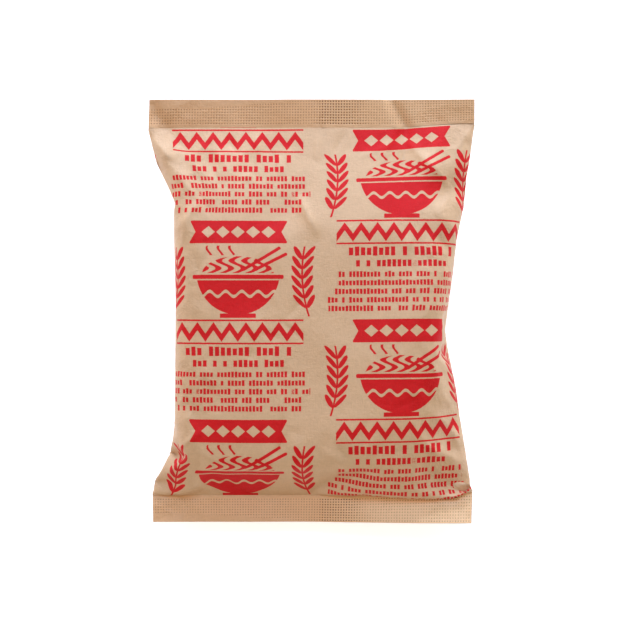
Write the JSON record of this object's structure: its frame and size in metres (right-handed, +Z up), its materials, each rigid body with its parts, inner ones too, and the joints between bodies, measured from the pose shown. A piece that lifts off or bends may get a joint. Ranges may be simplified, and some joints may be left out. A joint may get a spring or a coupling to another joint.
{
  "type": "instant noodle packet",
  "caption": "Sealed kraft paper pillow packet of instant noodles with red print, crimped end seals and a flat back seam, lying on its back.",
  "frame": {"origin": "centre of the packet's bounding box, on the surface that it lies on", "axes": "+X to the right across the print, +Y up the print towards the top seal, +Z up from the surface, out of the printed front"},
  "size_m": [0.1205, 0.156, 0.0255],
  "materials": {
    "printed_paper": "printed kraft paper"
  },
  "bodies": {
    "root": {"packet": "printed_paper"}
  },
  "joints": []
}
